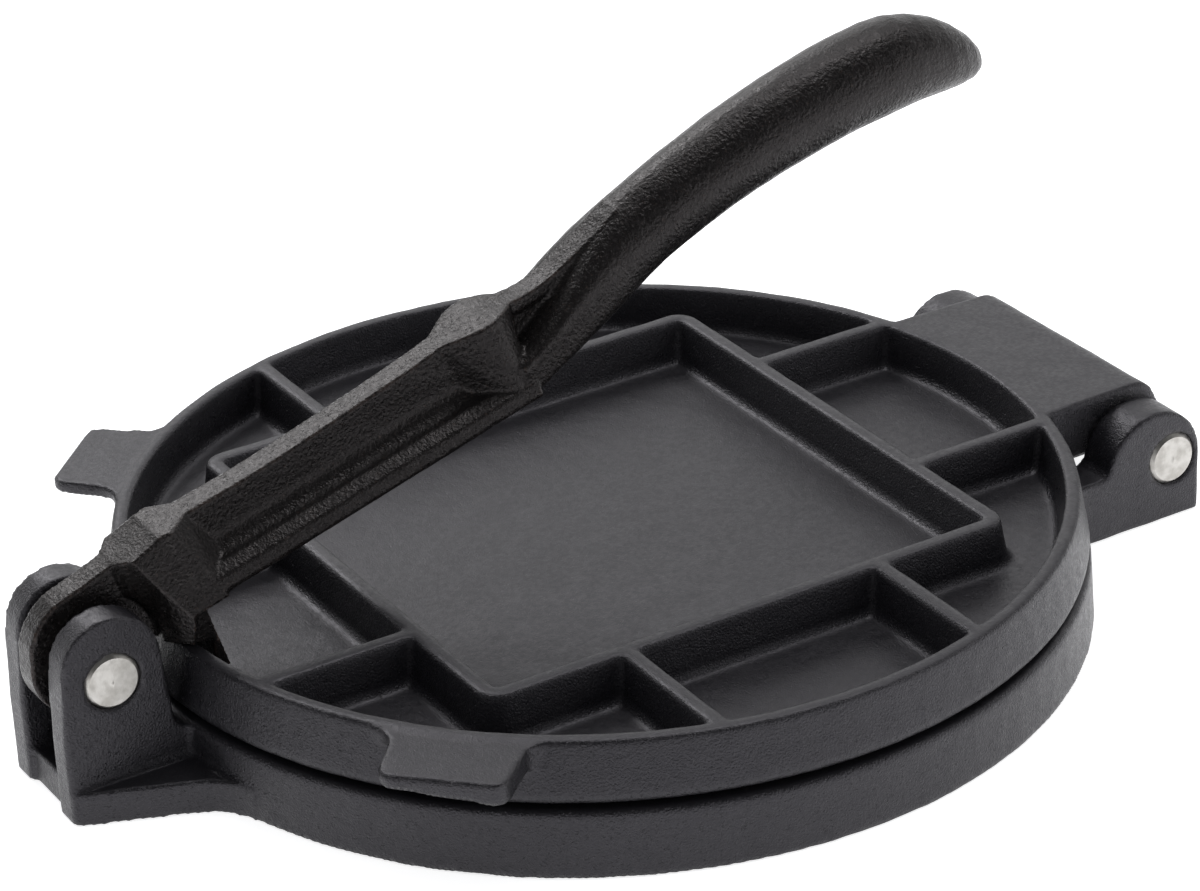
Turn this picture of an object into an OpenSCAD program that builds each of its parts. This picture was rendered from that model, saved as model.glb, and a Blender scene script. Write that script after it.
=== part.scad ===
// Cast iron tortilla press: a round base, a hinged top plate and a long lever
// that swings over the plate from a forked bracket at the front.
// The origin is on the table under the centre of the base.
// +X runs along the two hinge pins, +Y from the lever's bracket to the plate's
// hinge, and +Z points up.

/* [Base] */
// Radius of the base disc where it stands on the table
base_r = 105.1; // [85:0.1:130]
// How much smaller the disc's radius is at its top edge
base_taper = 0.7; // [0:0.1:3]
// Height of the base disc
base_h = 14.9; // [11:0.1:20]
// Thickness of the base's floor, under the pressing face
base_floor = 7; // [4:0.5:9]
// Width of the ring that the base stands on
base_ring_w = 7.5; // [5:0.5:12]
// Width of the two ribs that cross under the base
base_rib_w = 6; // [4:0.5:10]
// Rounding of the disc's outer edges
edge_r = 1.5; // [0.5:0.1:3]

/* [Top plate] */
// Radius of the top plate at its upper edge
plate_r = 102; // [82:0.1:126]
// Least room between the top plate's rim and the roots of the ears and arms
plate_room = 3.1; // [1:0.1:8]
// How much larger the plate's radius is at its lower edge
plate_taper = 2; // [0:0.1:4]
// Height of the top plate
plate_h = 13.5; // [10:0.1:18]
// Thickness of the plate under its pockets
plate_floor = 3.8; // [3:0.1:7]
// Width of the rim round the plate, at its top
rim_w = 3.4; // [2.6:0.1:6]
// Half the width of the square rib frame, over its outer faces
frame_half = 62.4; // [50:0.1:72]
// Radius of the frame's outer corners
frame_corner_r = 5; // [4:0.1:16]
// Width of a rib at its top
rib_w = 4; // [2.5:0.1:6]
// Draft of the ribs and of the rim's inner wall, in degrees
rib_draft = 7; // [2:0.5:12]
// Radius of the fillets between the ribs and the floor
rib_fillet = 2.2; // [1:0.1:3.5]
// Distance of the eight straight ribs from the plate's centre lines
spoke_offset = 30; // [20:0.5:38]
// Distance of the side tabs' ends from the plate's centre
tab_reach = 117; // [108:0.1:140]
// Width of a side tab at its end
tab_w = 25.6; // [18:0.1:34]
// How far a side tab's middle is shifted towards the lever's bracket
tab_shift = 1.8; // [0:0.1:3]
// Thickness of a side tab at its edge towards the plate's hinge
tab_t = 5.2; // [3:0.1:8]
// Thickness of a side tab at its edge towards the lever's bracket
tab_thin_t = 3; // [2:0.1:8]
// Depth of a side tab's upper face below the rim
tab_drop = 0.4; // [0:0.1:1.5]
// Radius of the concave root of a side tab, towards the lever's bracket
tab_fillet = 6; // [2:0.1:9]
// Radius of the concave root of a side tab, towards the plate's hinge
tab_rear_fillet = 2.5; // [1:0.1:9]
// Gap between the closed plate and what it rests on
rest_gap = 0.8; // [0.1:0.05:1]
// Gap between the plate's rim and the lever's heel at rest
heel_gap = 0.3; // [0.1:0.05:1]

/* [Lever bracket] */
// Distance of the lever's pin from the edge of the base disc
lever_pin_reach = 13.7; // [12.5:0.1:18]
// Height of the lever's pin over the table
lever_pin_z = 29.3; // [26:0.1:34]
// Diameter of the lever's pin
lever_pin_d = 12; // [9:0.1:13]
// Width of the slot between the bracket's two ears
ear_gap = 13.6; // [11:0.1:17]
// Thickness of one ear
ear_t = 6.9; // [5:0.1:10]
// Radius of the ears' round top
ear_r = 10.8; // [10:0.1:12]
// Thickness of the plate that carries the ears
lug_t = 7.5; // [5:0.1:9]
// How far that plate reaches out from the base disc
lug_reach = 25; // [23:0.1:32]
// Half the width of that plate at its front
lug_half = 14.1; // [13:0.1:18]
// Angle at which its sides open towards the disc
lug_flare = 23; // [10:0.5:32]
// Radius of the fillets where it meets the disc
lug_fillet = 15; // [6:0.5:18]

/* [Plate hinge] */
// Distance of the hinge pin from the edge of the base disc
hinge_reach = 18.7; // [16:0.1:24]
// Height of the hinge pin over the table
hinge_z = 14.5; // [12:0.1:17]
// Diameter of the hinge pin
hinge_pin_d = 12; // [9:0.1:13]
// Width of the slab that reaches from the plate to the hinge
slab_w = 58; // [40:0.5:70]
// Gap at each side of the slab
slab_gap = 0.5; // [0.3:0.1:1.5]
// Thickness of each arm of the base
arm_t = 9.8; // [7:0.1:14]
// Radius of the round end of the arms
arm_r = 12.4; // [11:0.1:13.5]
// Radius of the slab's rounded rear edge
slab_edge_r = 6; // [3:0.1:8]
// Wall round the hinge pin, inside the slab
knuckle_wall = 1.8; // [1.5:0.1:4]

/* [Lever] */
// Slope of the lever at rest, in degrees
lever_tilt = 16.2; // [12:0.1:20]
// Side play of the lever at the far ear
lever_play = 3.4; // [0.5:0.1:5]
// Side play of the lever at the near ear
lever_near_play = 4.1; // [0.5:0.1:5]
// Half the width of the lever's foot and of its lower flange
flange_half = 12; // [9:0.1:14]
// Half the width of the lip that drops inside the plate's rim
toe_half = 10; // [6:0.1:12]
// Half the width of the upright web at its top
web_half = 2.1; // [1.5:0.1:4]
// Thickness of the lower flange
flange_t = 4.5; // [3:0.1:6]
// Where the solid foot ends, along the lever
foot_end = 28.5; // [26:0.1:36]
// How far the foot's rear corners lean from there towards the eye, up to the lever's top
foot_lean = 4; // [0:0.1:6]
// Where the web swells for the hub, along the lever
hub_start = 91; // [80:0.5:95]
// Length of the hub
hub_len = 18; // [12:0.5:24]
// Half the width of the hub at its top
hub_half = 6.4; // [4:0.1:9]
// Radius of the handle's round bar where it begins
neck_r = 9.1; // [7.5:0.1:11]
// Radius of the handle's round bar where it is thickest, before its nose
handle_r = 10.3; // [8:0.1:12]
// Radius of the handle's arch
handle_bow = 198; // [160:1:280]
// Where the arch is highest, along the lever
handle_peak = 182.6; // [170:0.1:195]
// Height of the arch's centre line there, over the line through the pin
handle_rise = 22; // [17:0.1:27]
// Where the round bar begins, along the lever
handle_start = 142; // [136:0.1:150]
// Where the handle's nose begins, along the lever
handle_end = 206; // [190:0.1:230]
// Length of the nose
nose_len = 24.2; // [14:0.1:30]
// How far the nose drops at its tip
nose_drop = 7.1; // [2:0.1:9]
// Depth of the lip that drops inside the plate's rim
toe_depth = 6.8; // [3:0.1:7]
// Thickness of that lip
toe_t = 3.3; // [2:0.1:5]

/* [Fits] */
// Running clearance round each pin in the part that turns on it
pin_clearance = 0.05; // [0.02:0.01:0.09]

/* [Hidden] */
$fn = 64;
iron = [0.09, 0.09, 0.09];
rubbed_iron = [0.12, 0.1, 0.09];
steel = [0.72, 0.72, 0.7];
overlap = 1;
arc_steps = 6;
curve_steps = 4;
pin_chamfer = 0.8;
pin_dome = 0.2;

base_top_r = base_r - base_taper;
plate_z = base_h + rest_gap;
plate_top = plate_z + plate_h;
plate_foot_r = plate_r + plate_taper;
rim_in_r = plate_r - rim_w;
rim_mid = rim_in_r + 0.4;
floor_z = plate_z + plate_floor;
wall_h = plate_top - floor_z;
rib_spread = wall_h * tan(rib_draft);
rim_floor_r = rim_in_r - rib_spread;
rim_edge_r = 1;
plate_foot_edge_r = 2.2;
foot_edge_r = 0.8;
rim_inner_edge_r = 0.6;
rib_edge_r = rib_w * 0.22;
frame_mid = frame_half - rib_w / 2;
frame_bend_r = frame_corner_r - rib_w / 2;
tab_end_r = 3;
tab_flare = 3;
tab_slope = (tab_t - tab_thin_t) / tab_w;

ear_out = ear_gap / 2 + ear_t;
reach_r = max(base_r, plate_r + plate_room);
lever_pin_y = -(reach_r + lever_pin_reach);
lug_front = -(reach_r + lug_reach);
ear_rise = 3.3;
ear_top_z = lever_pin_z + ear_rise;
ear_root_y = -(reach_r + 1.6);
ear_knee_z = base_h + 2.8;
lug_setback = 1;

hinge_y = reach_r + hinge_reach;
boss_y = hinge_y - 5;
boss_fillet = 3;
arm_in = slab_w / 2 + slab_gap;
arm_fillet = 5;
knuckle_r = hinge_pin_d / 2 + knuckle_wall;
slab_end = hinge_y + 3.6;
slab_taper = 1;

eye_r = lever_pin_reach - 1.2;
eye_far = ear_gap / 2 - lever_play;
eye_near = ear_gap / 2 - lever_near_play;
swing_r = ear_rise + ear_r + 0.7;
lever_top = 18.3;
under = 1.7;
heel_z = plate_top + heel_gap;
heel_y = -(rim_in_r + 0.7);
toe_y = -(rim_in_r - 3.5);
toe_z = plate_top - toe_depth;
hub_end = hub_start + hub_len;
foot_top_half = 6;
foot_slant = 10.3;
foot_top_slant = 5;
leg_start = hub_end - 5;
leg_half = 11;
leg_t = 8.4;
leg_v = under + leg_t / 2 + 0.3;
leg_squareness = 6;
web_fillet = 4;
ring_points = 32;
leg_steps = 8;
bar_steps = 10;
nose_steps = 7;

// Points of an arc about [x, y], from angle a0 to angle a1
function arc(x, y, r, a0, a1, steps = arc_steps) =
  [for (i = [0:steps]) let (a = a0 + (a1 - a0) * i / steps) [x + r * cos(a), y + r * sin(a)]];

// The same outline on the other side of the centre line, in the other direction
function mirrored(p) = [for (i = [len(p) - 1:-1:0]) [-p[i].x, p[i].y]];

// One point of a smooth curve between b and c, with a and d on either side of them
function between(a, b, c, d, t) =
  0.5 * (2 * b + (c - a) * t + (2 * a - 5 * b + 4 * c - d) * t * t
    + (3 * b - a - 3 * c + d) * t * t * t);

// A smooth curve through the given points
function curve(p, steps = curve_steps) = concat(
  [for (i = [0:len(p) - 2], s = [0:steps - 1])
    between(p[max(i - 1, 0)], p[i], p[i + 1], p[min(i + 2, len(p) - 1)], s / steps)],
  [p[len(p) - 1]]);

// Right half of a lug's outline, from its outer corner back into a disc of radius disc_r.
// The lug points along -Y, its side opens by flare degrees, and a fillet meets the disc.
function lug_side(half, reach, flare, fillet, disc_r) =
  let (side = [sin(flare), cos(flare)],
       out = [cos(flare), -sin(flare)],
       q = [half, -reach] + out * fillet,
       along = side * q,
       t = -along - sqrt(along * along - q * q + pow(disc_r + fillet, 2)),
       c = q + side * t,
       a = atan2(-c.y, -c.x))
  concat(arc(c.x, c.y, fillet, 180 - flare, a + 360 * (a < 0 ? 1 : 0)),
    [c * ((disc_r - 4) / (disc_r + fillet))]);

// A point of the lever's side view, from its place in the object when the lever is down
function on_lever(y, z) =
  let (dy = y - lever_pin_y, dz = z - lever_pin_z)
  [dy * cos(lever_tilt) + dz * sin(lever_tilt), -dy * sin(lever_tilt) + dz * cos(lever_tilt)];

// Height of the handle's arch of radius r over the line through the pin
function arch(u, r = handle_bow) = handle_rise - handle_bow + sqrt(r * r - pow(u - handle_peak, 2));

// Slope of the arch, in degrees
function arch_slope(u) = asin((handle_peak - u) / handle_bow);

// A share that grows from 0 to 1 with t, with slope m0 at its start and m1 at its end
function ease(t, m0 = 0, m1 = 0) =
  (pow(t, 3) - 2 * t * t + t) * m0 + t * t * (3 - 2 * t) + (pow(t, 3) - t * t) * m1;

// Value at share t of the way from a to b
function mix(a, b, t) = a + (b - a) * t;

// A side view, drawn as [y, z], made w thick about the centre plane
module across(w) {
  rotate([90, 0, 90])
    linear_extrude(w, center = true)
      children();
}

// A front view, drawn as [x, z], run from y0 to y1
module along(y0, y1) {
  translate([0, y1, 0])
    rotate([90, 0, 0])
      linear_extrude(y1 - y0)
        children();
}

module both_sides() {
  children();
  mirror([1, 0, 0])
    children();
}

// A round bar on the X axis at y, z, from -half to half
module cross_bar(y, z, r, half) {
  translate([-half, y, z])
    rotate([0, 90, 0])
      cylinder(r = r, h = half * 2);
}

module base_disc() {
  rotate_extrude()
    polygon(concat([[0, 0]],
      arc(base_r - foot_edge_r, foot_edge_r, foot_edge_r, -90, 0),
      arc(base_top_r - edge_r, base_h - edge_r, edge_r, 0, 90),
      [[0, base_h]]));
}

// The four hollows under the base, between the ring and the crossed ribs
module base_hollows() {
  hollow_r = base_r - base_ring_w;
  hollow_h = base_h - base_floor;
  difference() {
    translate([0, 0, -overlap])
      cylinder(r1 = hollow_r + 0.1, r2 = hollow_r - 0.8, h = hollow_h + overlap);
    for (turn = [0, 90])
      rotate(turn)
        translate([-hollow_r * 1.1, -base_rib_w / 2, -overlap * 2])
          cube([hollow_r * 2.2, base_rib_w, hollow_h + overlap * 4]);
  }
}

// The plate in front of the disc that carries the two ears
module lug() {
  side = concat([[lug_half, lug_front]],
    lug_side(lug_half, -lug_front, lug_flare, lug_fillet, base_r));
  difference() {
    linear_extrude(lug_t)
      polygon(concat(mirrored(side), side));
    translate([-ear_gap / 2, lug_front - overlap, -overlap])
      cube([ear_gap, lug_setback + overlap, lug_t + overlap * 2]);
  }
}

module ears() {
  profile = concat(
    [[-base_r * 0.95, 0], [lug_front - 0.3, 0], [lug_front - 0.3, ear_knee_z]],
    arc(lever_pin_y, ear_top_z, ear_r, 180, 0, 16),
    [[ear_root_y, ear_knee_z], [ear_root_y + 0.4, base_h + 0.9]],
    [[ear_root_y + 2.1, base_h - 0.5], [-base_r * 0.95, base_h - 0.5]]);
  difference() {
    across(ear_out * 2)
      polygon(profile);
    translate([-ear_gap / 2, lug_front - overlap * 2, lug_t])
      cube([ear_gap, lug_reach + base_taper + overlap * 2, ear_top_z + ear_r]);
    translate([-ear_gap / 2, lug_front - overlap * 2, -overlap])
      cube([ear_gap, lug_setback + overlap * 2, lug_t + overlap * 2]);
  }
}

// One rear arm of the base, with its round boss
module hinge_arm() {
  end_y = boss_y + arm_r;
  side = lug_side(arm_in + arm_t, end_y, 0, arm_fillet, base_r);
  mirror([0, 1, 0])
    linear_extrude(base_h)
      polygon(concat([[arm_in, -base_r * 0.9], [arm_in, -end_y], [arm_in + arm_t, -end_y]], side));
  translate([arm_in, boss_y, hinge_z])
    rotate([0, 90, 0])
      cylinder(r = arm_r, h = arm_t);
  root_z = base_h + boss_fillet;
  root_y = boss_y - sqrt(pow(arm_r + boss_fillet, 2) - pow(root_z - hinge_z, 2));
  root_a = atan2(hinge_z - root_z, boss_y - root_y);
  translate([arm_in + arm_t / 2, 0, 0])
    across(arm_t)
      polygon(concat([[boss_y, hinge_z], [root_y, base_h - overlap]],
        arc(root_y, root_z, boss_fillet, -90, root_a)));
}

module base() {
  color(iron)
    difference() {
      union() {
        difference() {
          base_disc();
          base_hollows();
        }
        lug();
        ears();
        both_sides()
          hinge_arm();
      }
      cross_bar(lever_pin_y, lever_pin_z, lever_pin_d / 2, ear_out + overlap);
      cross_bar(hinge_y, hinge_z, hinge_pin_d / 2, arm_in + arm_t + overlap);
    }
}

// Section of a rib, with a rounded top, drafted sides and a fillet at the floor
module rib_section() {
  half = rib_w / 2;
  foot = half + rib_spread;
  side = concat(
    [[foot + rib_fillet, floor_z - overlap]],
    arc(foot + rib_fillet, floor_z + rib_fillet, rib_fillet, 270, 180 - rib_draft, 5),
    arc(half - rib_edge_r, plate_top - rib_edge_r, rib_edge_r, 0, 90, 4));
  polygon(concat(side, mirrored(side)));
}

// The square frame, with round corners
module rib_frame() {
  straight = frame_mid - frame_bend_r;
  for (turn = [0:90:270])
    rotate(turn) {
      translate([frame_mid, 0, 0])
        along(-straight, straight)
          rib_section();
      translate([straight, straight, 0])
        rotate_extrude(angle = 90)
          intersection() {
            translate([frame_bend_r, 0])
              rib_section();
            square([frame_bend_r * 3, plate_top + overlap]);
          }
    }
}

module spokes() {
  intersection() {
    for (turn = [0:90:270], side = [-1, 1])
      rotate(turn)
        translate([spoke_offset * side, 0, 0])
          along(frame_mid, rim_mid)
            rib_section();
    cylinder(r = rim_mid, h = plate_top + overlap);
  }
}

module plate_disc() {
  rotate_extrude()
    polygon(concat([[0, plate_z]],
      arc(plate_foot_r - plate_foot_edge_r, plate_z + plate_foot_edge_r, plate_foot_edge_r, -90, 0),
      arc(plate_r - rim_edge_r, plate_top - rim_edge_r, rim_edge_r, 10, 90),
      arc(rim_in_r + rim_inner_edge_r, plate_top - rim_inner_edge_r, rim_inner_edge_r, 90, 180, 4),
      arc(rim_floor_r - rib_fillet, floor_z + rib_fillet, rib_fillet, 0, -90, 5),
      [[0, floor_z]]));
}

// Right half of a tab's outline, from the middle of its end back into the rim
function tab_side(half, fillet) = concat(
  arc(half - tab_end_r, -tab_reach + tab_end_r, tab_end_r, -90, 0, 5),
  lug_side(half, tab_reach, tab_flare, fillet, plate_r + 0.5));

// A tab that sticks out of the rim, pointing along -Y, thinner towards +X
module side_tab() {
  top = plate_top - tab_drop;
  intersection() {
    linear_extrude(top)
      polygon(concat(mirrored(tab_side(tab_w / 2 - tab_shift, tab_rear_fillet)),
        tab_side(tab_w / 2 + tab_shift, tab_fillet)));
    along(-tab_reach - overlap, 0)
      polygon([[-tab_w, top - tab_t - tab_slope * tab_w / 2],
        [tab_w, top - tab_thin_t + tab_slope * tab_w / 2], [tab_w, top], [-tab_w, top]]);
  }
}

// The slab behind the plate, and the round eye at its end that turns on the hinge pin
module hinge_slab() {
  half = slab_w / 2;
  inner = rim_in_r * 0.94;
  intersection() {
    union() {
      across(slab_w)
        polygon(concat([[inner, plate_z], [inner, plate_top]],
          arc(slab_end - slab_edge_r, plate_top - slab_edge_r, slab_edge_r, 90, 18),
          [[hinge_y + knuckle_r * 0.96, hinge_z + knuckle_r * 0.3],
           [hinge_y, hinge_z], [hinge_y - knuckle_r, hinge_z], [hinge_y - knuckle_r, plate_z]]));
      cross_bar(hinge_y, hinge_z, knuckle_r, half);
    }
    linear_extrude(plate_top + overlap)
      polygon([[-half, inner], [half, inner], [half - slab_taper, hinge_y + arm_r * 2],
        [slab_taper - half, hinge_y + arm_r * 2]]);
  }
}

module top_plate() {
  color(iron)
    difference() {
      union() {
        plate_disc();
        rib_frame();
        spokes();
        difference() {
          union() {
            both_sides()
              rotate(-45)
                side_tab();
            hinge_slab();
          }
          translate([0, 0, plate_z + overlap])
            cylinder(r = rim_mid, h = plate_h);
        }
      }
      cross_bar(hinge_y, hinge_z, hinge_pin_d / 2 + pin_clearance, slab_w);
    }
}

// Upper line of the lever, from its foot to where it runs into the handle
function lever_crest() = curve([
  [22, lever_top - 0.1], [41, lever_top - 0.7], [56, lever_top - 0.5], [86, lever_top + 0.9],
  [hub_start + hub_len * 0.6, lever_top + 2.6], [handle_start - 27, lever_top + 1.6],
  [handle_start - 15, arch(handle_start - 3.6, handle_bow + neck_r) - 4],
  [handle_start - 3.6, arch(handle_start - 3.6, handle_bow + neck_r)]]);

// Side view of the lever from the clearance round the ears to the handle, with the
// heel that bears on the rim
module lever_side_view() {
  heel = on_lever(heel_y, heel_z);
  polygon(concat([on_lever(lever_pin_y + swing_r * 0.8, heel_z), heel],
    [[heel.x + (under - heel.y) * tan(lever_tilt), under]],
    [[hub_end - 4, under], [hub_end + 8, under + 5], [handle_start, handle_rise - handle_r]],
    [for (i = [len(lever_crest()) - 1:-1:0]) lever_crest()[i]],
    [[21, lever_top - 0.4], [17, lever_top - 1.1], [swing_r * 0.8, lever_top - 1.9]]));
}

// The lip behind the heel, which drops inside the rim
module toe() {
  tip = on_lever(toe_y, toe_z);
  back = tip.x + toe_t;
  across(toe_half * 2)
    polygon([on_lever(heel_y - overlap, heel_z), on_lever(toe_y, heel_z), tip,
      [back, tip.y - toe_t * tan(lever_tilt)], [back, under + overlap],
      [on_lever(heel_y - overlap, heel_z).x, under + overlap]]);
}

// Section of the arm: a flange below and an upright web
module arm_section() {
  top = under + flange_t;
  edge = 1.5;
  side = concat(
    arc(flange_half - edge, under + edge, edge, -90, 0, 4),
    arc(flange_half - edge - 0.5, top - edge, edge, 0, 80, 4),
    arc(web_half + web_fillet + 1.4, top + web_fillet + 0.8, web_fillet, 280, 180, 6),
    [[web_half, lever_top * 2]]);
  polygon(concat(side, mirrored(side)));
}

// Section of the foot, wide at the rim and narrow at the top
module foot_section() {
  side = [[flange_half + 0.5, -lever_top], [flange_half + 0.5, under],
    [foot_top_half, lever_top], [foot_top_half, lever_top * 2]];
  polygon(concat(side, mirrored(side)));
}

// Plan of the foot, with its front corners cut back beside the ears
module foot_plan() {
  neck = swing_r * 0.7;
  side = [[flange_half - 2.5, swing_r + 2.5], [flange_half + overlap, swing_r + 6],
    [flange_half + overlap, foot_end + overlap]];
  polygon(concat([[0.2 - eye_far, neck], [eye_near - 0.2, neck], [eye_near + 1, neck + 2.2]],
    side, mirrored(side), [[-0.8 - eye_far, neck + 2.2]]));
}

module web_section(half) {
  translate([-half, -lever_top])
    square([half * 2, lever_top * 4]);
}

// The swelling of the web, where the arm meets the handle's root
module hub() {
  ramp = hub_start + hub_len * 0.5;
  lens = [for (t = [0:0.125:1])
    [mix(web_half, web_half + 1, t) + (hub_half - web_half) * sin(180 * pow(t, 1.15)),
     hub_start + hub_len * t]];
  foot = [[web_half + 0.6, hub_start], [flange_half - 1.5, ramp],
    [flange_half - 0.7, leg_start - 2], [flange_half - 1, leg_start]];
  hull() {
    translate([0, 0, under])
      linear_extrude(flange_t - 1)
        polygon(concat(foot, mirrored(foot)));
    translate([0, 0, lever_top + 1])
      linear_extrude(2)
        polygon(concat(lens, mirrored(lens)));
  }
}

// Outline of the foot's rear part at one height: half its width, where its corners are,
// and how far behind them the slanting faces meet the web
module foot_rear_plan(half, end, reach) {
  side = [[0, foot_end - foot_lean - 1], [half, foot_end - foot_lean - 1], [half, end],
    [web_half, end + reach], [0, end + reach]];
  polygon(concat(side, mirrored(side)));
}

// The foot's rear part, whose slanting faces lead to the web and lean towards the eye
module foot_rear() {
  hull() {
    translate([0, 0, under - overlap])
      linear_extrude(overlap)
        foot_rear_plan(flange_half + 0.5, foot_end, foot_slant);
    translate([0, 0, lever_top])
      linear_extrude(overlap)
        foot_rear_plan(foot_top_half, foot_end - foot_lean, foot_top_slant);
  }
}

// Sections of the handle: place and height along the lever, half width, half height,
// slope in degrees, and how square the section is
function leg_ring(t) =
  let (end_v = arch(handle_start),
       end_slope = tan(arch_slope(handle_start)) * (handle_start - leg_start) / (end_v - leg_v))
  [mix(leg_start, handle_start, t), mix(leg_v, end_v, ease(t, 0.8, end_slope)),
   mix(leg_half, neck_r, t), mix(leg_t / 2, neck_r, ease(t)),
   mix(0, arch_slope(handle_start), min(1, t * 2)), 2 + leg_squareness * pow(1 - t, 1.7)];

function bar_ring(t) =
  let (u = mix(handle_start, handle_end, t), r = mix(neck_r, handle_r, ease(t)))
  [u, arch(u), r, r, arch_slope(u), 2];

function nose_ring(a) =
  let (u = handle_end + nose_len * sin(a), r = handle_r * pow(cos(a), 0.92))
  [u, arch(u) - nose_drop * pow(sin(a), 2), r, r, arch_slope(u), 2];

function power(a, e) = sign(a) * pow(abs(a), e);

// Points of one section, placed on the lever
function ring(s) = [for (i = [0:ring_points - 1])
  let (a = (i + 0.5) * 360 / ring_points,
       x = s[2] * power(cos(a), 2 / s[5]),
       h = s[3] * power(sin(a), 2 / s[5]))
  [x, s[0] - h * sin(s[4]), s[1] + h * cos(s[4])]];

// The handle, from its leg at the hub over the arched bar to its blunt nose
module handle() {
  sections = concat(
    [for (i = [0:leg_steps - 1]) leg_ring(i / leg_steps)],
    [for (i = [0:bar_steps - 1]) bar_ring(i / bar_steps)],
    [for (i = [0:nose_steps]) nose_ring(84 * i / nose_steps)]);
  n = ring_points;
  last = (len(sections) - 1) * n;
  polyhedron([for (s = sections) each ring(s)],
    concat([[for (i = [n - 1:-1:0]) i]],
      [for (k = [0:len(sections) - 2], i = [0:n - 1])
        [k * n + i, k * n + (i + 1) % n, (k + 1) * n + (i + 1) % n]],
      [for (k = [0:len(sections) - 2], i = [0:n - 1])
        [k * n + i, (k + 1) * n + (i + 1) % n, (k + 1) * n + i]],
      [[for (i = [0:n - 1]) last + i]]));
}

// The eye between the ears, as a side view
module eye_side_view() {
  circle(r = eye_r);
  polygon(concat([[-eye_r + 0.6, 0]],
    arc(0.9, lever_top - 3 - eye_r, eye_r, 180, 90),
    [[6, lever_top - 2.6], [10, lever_top - 2.2], [13, lever_top - 1.8]],
    [[17, lever_top - 1.2], [21, lever_top - 0.5]],
    [[foot_end - foot_lean - 1, lever_top - 0.2], [foot_end - 1.5, lever_top * 0.3]],
    [on_lever(lever_pin_y + swing_r + 3, heel_z), on_lever(lever_pin_y + eye_r * 0.9, heel_z)],
    [[0, 0]]));
}

module lever_arm() {
  intersection() {
    union() {
      difference() {
        intersection() {
          along(swing_r * 0.8, foot_end - foot_lean)
            foot_section();
          translate([0, 0, -lever_top])
            linear_extrude(lever_top * 2 + overlap)
              foot_plan();
        }
        cross_bar(0, 0, swing_r, flange_half * 2);
      }
      foot_rear();
      along(foot_end - 0.1, hub_end - 3)
        arm_section();
      along(hub_start, handle_start + 2)
        web_section(web_half + 0.3);
      hub();
    }
    across(flange_half * 3)
      lever_side_view();
  }
}

// The strip along the top of the web between the hub and the handle
module crest_strip() {
  crest = lever_crest();
  intersection() {
    across(web_half * 2 + 2)
      polygon(concat(crest, [for (i = [len(crest) - 1:-1:0]) crest[i] - [0, 3]]));
    along(hub_end - 1, handle_start + 2)
      web_section(web_half + 2);
  }
}

module lever() {
  color(rubbed_iron)
    translate([0, lever_pin_y, lever_pin_z])
      rotate([lever_tilt, 0, 0])
        difference() {
          union() {
            translate([(eye_near - eye_far) / 2, 0, 0])
              across(eye_near + eye_far)
                eye_side_view();
            lever_arm();
            toe();
            crest_strip();
            handle();
          }
          cross_bar(0, 0, lever_pin_d / 2 + pin_clearance, flange_half * 2);
        }
}

// A plain pin on the X axis, with domed, chamfered ends
module pin(y, z, d, half) {
  r = d / 2;
  translate([0, y, z])
    rotate([0, 90, 0])
      rotate_extrude()
        polygon([[0, -half - pin_dome], [r - pin_chamfer, -half], [r, pin_chamfer - half],
          [r, half - pin_chamfer], [r - pin_chamfer, half], [0, half + pin_dome]]);
}

module lever_pin() {
  color(steel)
    pin(lever_pin_y, lever_pin_z, lever_pin_d, ear_out);
}

module hinge_pin() {
  color(steel)
    pin(hinge_y, hinge_z, hinge_pin_d, arm_in + arm_t);
}

base();
top_plate();
lever();
lever_pin();
hinge_pin();
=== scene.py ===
import math

import bpy
import numpy as np
from mathutils import Matrix, Vector
from mathutils.noise import fractal


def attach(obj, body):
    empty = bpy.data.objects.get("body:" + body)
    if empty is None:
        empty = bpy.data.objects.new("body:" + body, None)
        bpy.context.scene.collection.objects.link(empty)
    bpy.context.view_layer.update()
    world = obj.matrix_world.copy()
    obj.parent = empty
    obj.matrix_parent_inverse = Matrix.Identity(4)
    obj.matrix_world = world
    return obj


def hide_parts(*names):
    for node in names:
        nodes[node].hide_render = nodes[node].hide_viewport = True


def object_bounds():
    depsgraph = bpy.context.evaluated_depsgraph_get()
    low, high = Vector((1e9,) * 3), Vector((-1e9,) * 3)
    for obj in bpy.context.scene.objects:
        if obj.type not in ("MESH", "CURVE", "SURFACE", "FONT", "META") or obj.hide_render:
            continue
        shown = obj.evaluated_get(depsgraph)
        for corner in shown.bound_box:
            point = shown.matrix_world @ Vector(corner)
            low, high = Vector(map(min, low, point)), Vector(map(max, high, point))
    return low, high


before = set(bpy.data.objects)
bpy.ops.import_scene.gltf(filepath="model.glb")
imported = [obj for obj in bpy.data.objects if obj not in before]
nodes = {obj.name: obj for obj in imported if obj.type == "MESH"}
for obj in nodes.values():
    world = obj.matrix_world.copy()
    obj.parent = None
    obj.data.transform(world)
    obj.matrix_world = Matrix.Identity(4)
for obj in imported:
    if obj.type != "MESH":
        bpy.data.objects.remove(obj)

CAD_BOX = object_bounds()
MM = 0.001

# Surface features, each in features per metre
BLOTCHES = 38
WAVES = 140
EDGE_PATCHES = 400
PATCHES = 900
PORES = 1100
SPECKS = 1500
STEEL_CLOUDS = 330
STEEL_SCRATCHES = 700
DIMPLES = 130.0

# Depths of the surface features
SAND_DEPTH = 0.28 * MM
WAVE_DEPTH = 0.6 * MM
DENT_DEPTH = 0.2 * MM
SCRATCH_DEPTH = 0.05 * MM
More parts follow.
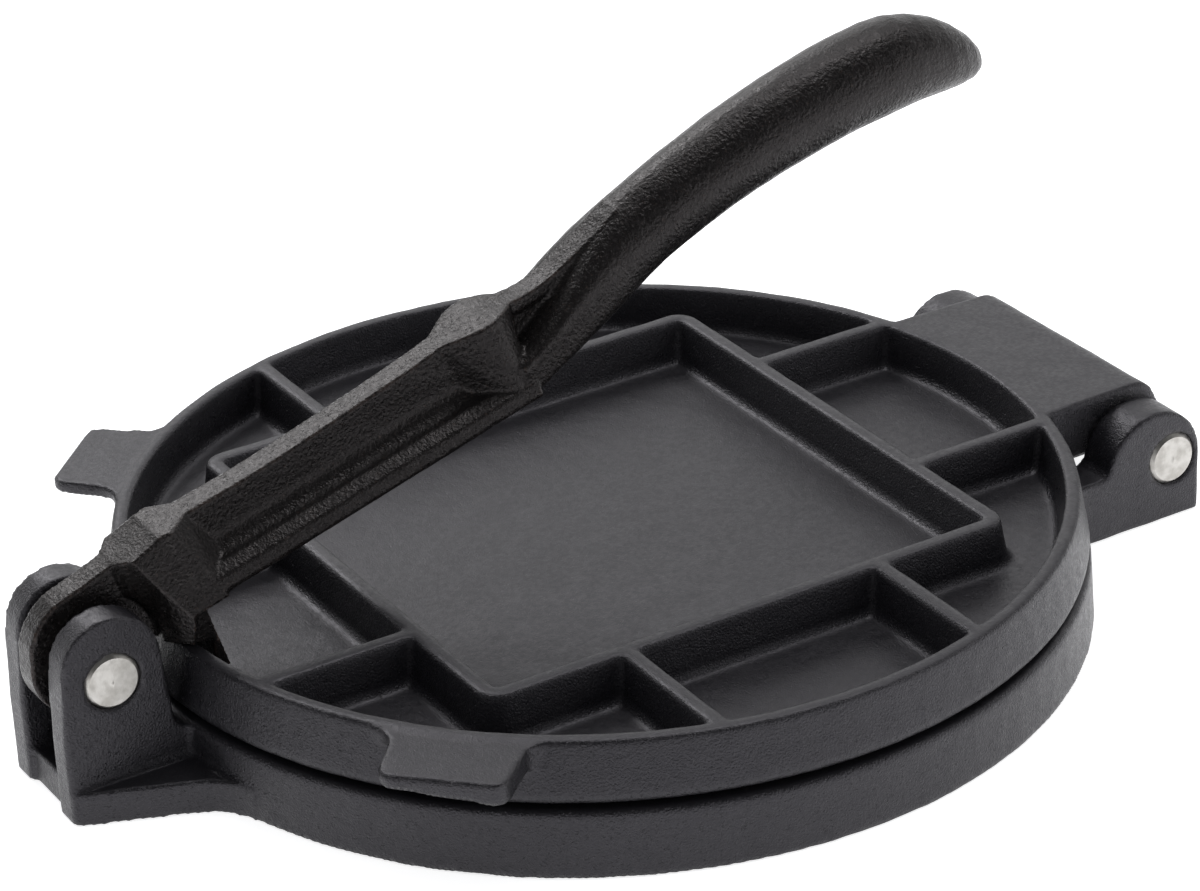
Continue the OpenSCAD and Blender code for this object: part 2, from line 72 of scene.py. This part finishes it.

# The two finishes of cast iron
# In each finish, the pale tone and its share on convex edges are partly wear and partly painted edge
# highlight.
BLACK_IRON = {
    "black": (0.0085, 0.0082, 0.0100), "pale_wear_and_highlight": (0.06, 0.058, 0.059), "wear_and_highlight_share": 0.4,
    "flat_grain": 0.22, "wall_grain": 0.9, "flat_rough": 0.42, "wall_rough": 0.33,
    "sheen": (0.95, 0.92, 1.0), "shine": 0.5, "sand": 2300}
RUBBED_IRON = {
    "black": (0.0062, 0.0056, 0.0056), "pale_wear_and_highlight": (0.085, 0.06, 0.05), "wear_and_highlight_share": 0.8,
    "flat_grain": 0.6, "wall_grain": 1.0, "flat_rough": 0.34, "wall_rough": 0.3,
    "sheen": (1.0, 0.93, 0.94), "shine": 0.32, "sand": 1300}

BRIGHT_STEEL = (0.53, 0.515, 0.49)
DULL_STEEL = (0.38, 0.365, 0.34)

# Meshes of the cast pieces: size of the mesh, and how far the skin is pressed in
DISC_MESH = 0.9 * MM
DISC_WAVE = 0.15 * MM
LEVER_MESH = 0.55 * MM
LEVER_WAVE = 0.2 * MM

# Camera of the photograph
CAMERA_PLACE = (0.6549, -0.3813, 0.4320)
CAMERA_BACK = (0.7664, -0.4482, 0.4602)
CAMERA_ROLL = -2.668
CAMERA_LENS = 121.97
CAMERA_SENSOR = 36.0

# Studio
FLOOR_HALF = 6.0
FLOOR_WHITE = (0.85, 0.85, 0.86)
FLOOR_GLOW = 0.75
ROOM_TINT = (0.97, 0.98, 1.0)
ROOM_STRENGTH = 0.55
CEILING_STRENGTH = 0.1
CAMERA_SIDE = (0.86, -0.5)


# Node trees

def new_material(name):
    """A material with only its output and a Principled shader; returns it with its tree's parts."""
    mat = bpy.data.materials.new(name)
    mat.use_nodes = True
    tree = mat.node_tree
    tree.nodes.clear()
    out = tree.nodes.new("ShaderNodeOutputMaterial")
    shader = tree.nodes.new("ShaderNodeBsdfPrincipled")
    tree.links.new(shader.outputs["BSDF"], out.inputs["Surface"])
    return mat, tree, shader


def noise(tree, scale, detail=3.0, rough=0.55, stretch=(1, 1, 1)):
    """A noise over the piece's own coordinates; scale is in features per metre."""
    coord = tree.nodes.new("ShaderNodeTexCoord")
    mapping = tree.nodes.new("ShaderNodeMapping")
    mapping.inputs["Scale"].default_value = stretch
    tex = tree.nodes.new("ShaderNodeTexNoise")
    tex.inputs["Scale"].default_value = scale
    tex.inputs["Detail"].default_value = detail
    tex.inputs["Roughness"].default_value = rough
    tree.links.new(coord.outputs["Object"], mapping.inputs["Vector"])
    tree.links.new(mapping.outputs["Vector"], tex.inputs["Vector"])
    return tex.outputs["Fac"]


def ramp(tree, value, low, high, start=0.0, end=1.0):
    """value, from low to high, mapped to start..end and held there outside it."""
    node = tree.nodes.new("ShaderNodeMapRange")
    node.clamp = True
    node.interpolation_type = "SMOOTHSTEP"
    node.inputs["From Min"].default_value = low
    node.inputs["From Max"].default_value = high
    node.inputs["To Min"].default_value = start
    node.inputs["To Max"].default_value = end
    tree.links.new(value, node.inputs["Value"])
    return node.outputs["Result"]


def combine(tree, kind, a, b):
    """a and b, each a socket or a number, through one step of arithmetic."""
    node = tree.nodes.new("ShaderNodeMath")
    node.operation = kind
    for socket, value in zip(node.inputs, (a, b)):
        if isinstance(value, (int, float)):
            socket.default_value = value
        else:
            tree.links.new(value, socket)
    return node.outputs[0]


def mix_colour(tree, factor, a, b):
    """Colour a where factor is 0 and b where it is 1; each is a socket or three numbers."""
    node = tree.nodes.new("ShaderNodeMix")
    node.data_type = "RGBA"
    tree.links.new(factor, node.inputs["Factor"])
    for socket, value in ((node.inputs["A"], a), (node.inputs["B"], b)):
        if isinstance(value, tuple):
            socket.default_value = (*value, 1)
        else:
            tree.links.new(value, socket)
    return node.outputs["Result"]


def bump(tree, height, depth, strength, below=None):
    """A bump of that depth in metres, over the one below it."""
    node = tree.nodes.new("ShaderNodeBump")
    node.inputs["Distance"].default_value = depth
    node.inputs["Strength"].default_value = strength
    tree.links.new(height, node.inputs["Height"])
    if below is not None:
        tree.links.new(below, node.inputs["Normal"])
    return node.outputs["Normal"]


def upward(tree):
    """1 on faces that point straight up on the piece, and 0 on upright and lower ones."""
    coord = tree.nodes.new("ShaderNodeTexCoord")
    split = tree.nodes.new("ShaderNodeSeparateXYZ")
    tree.links.new(coord.outputs["Normal"], split.inputs["Vector"])
    return ramp(tree, split.outputs["Z"], 0.72, 0.98)


def iron_colour(tree, finish, worn_and_lit_edges, pointed):
    """Blotched black, pale specks, painted shade in creases, and pale ridges of wear and painted
    highlight.
    """
    black = finish["black"]
    pale_wear_and_highlight = finish["pale_wear_and_highlight"]
    dark = tuple(c * 0.62 for c in black)
    pale = tuple(c * 1.2 for c in black)
    blotch = ramp(tree, noise(tree, BLOTCHES, 3), 0.35, 0.7)
    speck = ramp(tree, noise(tree, SPECKS, 2), 0.6, 0.78)
    # Painted shade: concave creases and corners (low pointiness) are mixed halfway towards dark,
    # where shade falls.
    crease_shade = ramp(tree, pointed, 0.42, 0.485, 1, 0)
    colour = mix_colour(tree, blotch, black, pale)
    colour = mix_colour(tree, combine(tree, "MULTIPLY", crease_shade, 0.5), colour, dark)
    colour = mix_colour(tree, combine(tree, "MULTIPLY", speck, 0.35), colour, pale_wear_and_highlight)
    # Pale ridges: on convex edges the pale tone is partly rubbed wear and partly a painted
    # highlight.
    return mix_colour(tree, combine(tree, "MULTIPLY", worn_and_lit_edges, finish["wear_and_highlight_share"]), colour, pale_wear_and_highlight)


def iron_roughness(tree, finish, worn_and_lit_edges, top):
    """Rougher on flat tops than on walls, in small patches, and smoother on the worn edges that also
    carry the painted highlight.
    """
    patches = ramp(tree, noise(tree, PATCHES, 3), 0.3, 0.7, -0.07, 0.07)
    plain = ramp(tree, top, 0, 1, finish["wall_rough"], finish["flat_rough"])
    gloss = combine(tree, "ADD", patches, plain)
    return combine(tree, "ADD", gloss, combine(tree, "MULTIPLY", worn_and_lit_edges, -0.08))


def iron_grain(tree, finish, top):
    """Grains of sand and pores, over low waves."""
    grain = ramp(tree, top, 0, 1, finish["wall_grain"], finish["flat_grain"])
    sand = combine(tree, "SUBTRACT", noise(tree, finish["sand"], 2, 0.6), 0.5)
    pores = ramp(tree, noise(tree, PORES, 3, 0.6), 0.3, 0.4, -0.4, 0)
    height = combine(tree, "MULTIPLY", sand, grain)
    holes = combine(tree, "MULTIPLY", pores, grain)
    waves = bump(tree, noise(tree, WAVES, 3), WAVE_DEPTH, 0.3)
    return bump(tree, combine(tree, "ADD", height, holes), SAND_DEPTH, 1.0, waves)


def cast_iron(name, finish):
    """Seasoned cast iron: sand-cast grain, finer on flat tops than on walls, and pale edges of wear
    and painted highlight.
    """
    mat, tree, shader = new_material(name)
    top = upward(tree)
    pointed = tree.nodes.new("ShaderNodeNewGeometry").outputs["Pointiness"]
    # Patches on convex edges: the mask of the pale edges, partly wear and partly painted highlight.
    edge_patches = ramp(tree, noise(tree, EDGE_PATCHES, 4, 0.65), 0.38, 0.62)
    worn_and_lit_edges = combine(tree, "MULTIPLY", ramp(tree, pointed, 0.515, 0.6), edge_patches)
    tree.links.new(iron_colour(tree, finish, worn_and_lit_edges, pointed), shader.inputs["Base Color"])
    tree.links.new(iron_roughness(tree, finish, worn_and_lit_edges, top), shader.inputs["Roughness"])
    tree.links.new(iron_grain(tree, finish, top), shader.inputs["Normal"])
    shader.inputs["Specular IOR Level"].default_value = finish["shine"]
    shader.inputs["Specular Tint"].default_value = (*finish["sheen"], 1)
    return mat


def satin_steel(name):
    """Bright pin ends: soft blotches, faint turning marks and small scratches."""
    mat, tree, shader = new_material(name)
    cloud = noise(tree, STEEL_CLOUDS, 4)
    colour = mix_colour(tree, ramp(tree, cloud, 0.35, 0.7), BRIGHT_STEEL, DULL_STEEL)
    tree.links.new(colour, shader.inputs["Base Color"])
    shader.inputs["Metallic"].default_value = 1.0
    patches = ramp(tree, noise(tree, PATCHES, 3), 0.3, 0.7, 0.3, 0.46)
    tree.links.new(patches, shader.inputs["Roughness"])
    scratch = noise(tree, STEEL_SCRATCHES, 4, 0.6, (1, 6, 1))
    dents = bump(tree, cloud, DENT_DEPTH, 0.25)
    tree.links.new(bump(tree, scratch, SCRATCH_DEPTH, 0.3, dents), shader.inputs["Normal"])
    return mat


# Cast pieces

def as_cast(name, material, voxel, wave):
    """A copy of a CAD node with softened edges and a slightly uneven skin, which stands for it.
    Each casting is named as its node and as the body that it moves with."""
    source = nodes[name]
    piece = bpy.data.objects.new(name + "_casting", source.data.copy())
    bpy.context.scene.collection.objects.link(piece)
    remesh = piece.modifiers.new("voxels", "REMESH")
    remesh.mode = "VOXEL"
    remesh.voxel_size = voxel
    cling = piece.modifiers.new("cling", "SHRINKWRAP")
    cling.target = source
    cling.wrap_method = "NEAREST_SURFACEPOINT"
    smooth = piece.modifiers.new("soften", "SMOOTH")
    smooth.factor = 0.5
    smooth.iterations = 1
    bpy.context.view_layer.update()
    depsgraph = bpy.context.evaluated_depsgraph_get()
    mesh = bpy.data.meshes.new_from_object(piece.evaluated_get(depsgraph))
    piece.modifiers.clear()
    piece.data = mesh
    uneven(mesh, wave)
    mesh.materials.clear()
    mesh.materials.append(material)
    mesh.polygons.foreach_set("use_smooth", np.ones(len(mesh.polygons), dtype=bool))
    mesh.update()
    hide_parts(name)
    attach(piece, name)


def uneven(mesh, wave):
    """Presses the skin in by up to wave, in soft patches of a few millimetres."""
    count = len(mesh.vertices)
    points = np.empty(count * 3)
    normals = np.empty(count * 3)
    mesh.vertices.foreach_get("co", points)
    mesh.vertex_normals.foreach_get("vector", normals)
    points = points.reshape(-1, 3)
    depth = np.array([fractal(Vector(p), 0.9, 2.0, 2) for p in points * DIMPLES])
    depth = np.clip(0.5 + depth * 0.6, 0, 1)[:, None]
    moved = points - normals.reshape(-1, 3) * depth * wave
    low = np.array(CAD_BOX[0])
    high = np.array(CAD_BOX[1])
    mesh.vertices.foreach_set("co", np.clip(moved, low, high).ravel())


# Stage

def seen_directly(tree):
    """1 for rays from the camera and for mirror-like and clear ones, and 0 for scattered light."""
    path = tree.nodes.new("ShaderNodeLightPath")
    seen = combine(tree, "MAXIMUM", path.outputs["Is Camera Ray"], path.outputs["Is Glossy Ray"])
    return combine(tree, "MAXIMUM", seen, path.outputs["Is Transmission Ray"])


def pale_floor():
    """A large white sheet that keeps a faint shadow; its glow lifts it to white where it is seen."""
    half = FLOOR_HALF
    mesh = bpy.data.meshes.new("floor_sheet")
    corners = [(-half, -half, 0), (half, -half, 0), (half, half, 0), (-half, half, 0)]
    mesh.from_pydata(corners, [], [(0, 1, 2, 3)])
    floor = bpy.data.objects.new("floor_sheet", mesh)
    bpy.context.scene.collection.objects.link(floor)
    mat, tree, shader = new_material("floor_white")
    shader.inputs["Base Color"].default_value = (*FLOOR_WHITE, 1)
    shader.inputs["Roughness"].default_value = 0.9
    shader.inputs["Emission Color"].default_value = (1, 1, 1, 1)
    glow = combine(tree, "MULTIPLY", seen_directly(tree), FLOOR_GLOW)
    tree.links.new(glow, shader.inputs["Emission Strength"])
    mesh.materials.append(mat)


def studio_world():
    """White where it is seen or mirrored, but for the dark ceiling on the camera's side;
    for scattered light, a plain grey room."""
    world = bpy.data.worlds.new("studio")
    bpy.context.scene.world = world
    world.use_nodes = True
    tree = world.node_tree
    tree.nodes.clear()
    out = tree.nodes.new("ShaderNodeOutputWorld")
    seen = tree.nodes.new("ShaderNodeBackground")
    room = tree.nodes.new("ShaderNodeBackground")
    room.inputs["Color"].default_value = (*ROOM_TINT, 1)
    room.inputs["Strength"].default_value = ROOM_STRENGTH
    coord = tree.nodes.new("ShaderNodeTexCoord")
    split = tree.nodes.new("ShaderNodeSeparateXYZ")
    tree.links.new(coord.outputs["Generated"], split.inputs["Vector"])
    along_x = combine(tree, "MULTIPLY", split.outputs["X"], CAMERA_SIDE[0])
    along_y = combine(tree, "MULTIPLY", split.outputs["Y"], CAMERA_SIDE[1])
    near_side = ramp(tree, combine(tree, "ADD", along_x, along_y), -0.5, 0.0)
    above = combine(tree, "MULTIPLY", ramp(tree, split.outputs["Z"], 0.05, 0.4), near_side)
    path = tree.nodes.new("ShaderNodeLightPath")
    mirrored = combine(tree, "SUBTRACT", 1.0, path.outputs["Is Camera Ray"])
    shade = combine(tree, "MULTIPLY", above, mirrored)
    tree.links.new(ramp(tree, shade, 0, 1, 1, CEILING_STRENGTH), seen.inputs["Strength"])
    mixer = tree.nodes.new("ShaderNodeMixShader")
    tree.links.new(seen_directly(tree), mixer.inputs["Fac"])
    tree.links.new(room.outputs["Background"], mixer.inputs[1])
    tree.links.new(seen.outputs["Background"], mixer.inputs[2])
    tree.links.new(mixer.outputs["Shader"], out.inputs["Surface"])


def soft_light(name, place, aim, size, power):
    """A rectangular studio light at place, facing aim."""
    data = bpy.data.lights.new(name, "AREA")
    data.shape = "RECTANGLE"
    data.size, data.size_y = size
    data.energy = power
    light = bpy.data.objects.new(name, data)
    light.location = place
    light.rotation_euler = (Vector(aim) - Vector(place)).to_track_quat("-Z", "Y").to_euler()
    bpy.context.scene.collection.objects.link(light)


def photo_camera():
    """The camera where the photograph was taken from."""
    back = Vector(CAMERA_BACK).normalized()
    roll = math.radians(CAMERA_ROLL)
    right = Vector((0, 0, 1)).cross(back).normalized()
    up = back.cross(right)
    x_axis = right * math.cos(roll) + up * math.sin(roll)
    y_axis = up * math.cos(roll) - right * math.sin(roll)
    data = bpy.data.cameras.new("photo_camera")
    data.sensor_width = CAMERA_SENSOR
    data.lens = CAMERA_LENS
    data.clip_start = 0.01
    data.clip_end = 50.0
    camera = bpy.data.objects.new("photo_camera", data)
    camera.matrix_world = Matrix((
        (x_axis.x, y_axis.x, back.x, CAMERA_PLACE[0]),
        (x_axis.y, y_axis.y, back.y, CAMERA_PLACE[1]),
        (x_axis.z, y_axis.z, back.z, CAMERA_PLACE[2]),
        (0, 0, 0, 1)))
    bpy.context.scene.collection.objects.link(camera)
    bpy.context.scene.camera = camera


black_iron = cast_iron("seasoned_black", BLACK_IRON)
rubbed_iron = cast_iron("seasoned_rubbed", RUBBED_IRON)
steel = satin_steel("satin_pin")

as_cast("base", black_iron, DISC_MESH, DISC_WAVE)
as_cast("top_plate", black_iron, DISC_MESH, DISC_WAVE)
as_cast("lever", rubbed_iron, LEVER_MESH, LEVER_WAVE)
for pin in ("lever_pin", "hinge_pin"):
    for place in nodes[pin].material_slots:
        place.material = steel

bpy.context.scene.view_settings.view_transform = "Standard"
photo_camera()
pale_floor()
studio_world()
soft_light("key", (-1.05, -0.02, 0.96), (0, 0, 0.05), (0.6, 0.5), 5.5)
soft_light("overhead", (-0.15, 0.3, 1.3), (0, 0, 0), (0.6, 0.5), 4)
soft_light("behind", (-1.3, 0.9, 0.75), (0, 0, 0.02), (1.2, 0.9), 1.5)
soft_light("side", (0.9, 0.9, 0.5), (0, 0, 0.02), (0.7, 0.7), 1.7)
